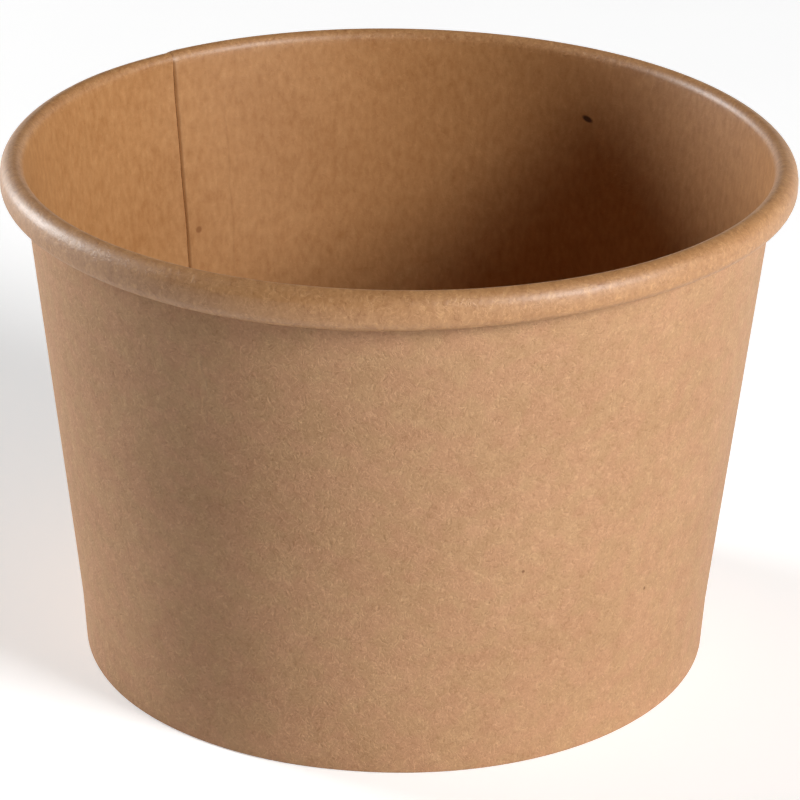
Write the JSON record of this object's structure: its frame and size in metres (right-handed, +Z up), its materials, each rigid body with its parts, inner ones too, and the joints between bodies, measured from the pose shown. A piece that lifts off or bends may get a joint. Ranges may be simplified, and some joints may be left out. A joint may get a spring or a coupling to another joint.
{
  "type": "paper ice cream tub",
  "caption": "Round tapered paper tub with a rolled rim, a lapped side seam and a base set up inside its foot, for ice cream and other cold food.",
  "frame": {"origin": "middle of the ring that the tub stands on, at table level", "axes": "+Z up along the tub's axis and out of its mouth; the raw edge of the side seam shows inside at 130 degrees anticlockwise from +X, so the picture looks along +Y"},
  "size_m": [0.115, 0.115, 0.0768],
  "materials": {
    "side_wall": "matt uncoated kraft outside, thin glossy sealing film inside",
    "base_disc": "thin glossy sealing film above, matt uncoated kraft below"
  },
  "bodies": {
    "root": {"side_wall": "side_wall", "base_disc": "base_disc"}
  },
  "joints": []
}
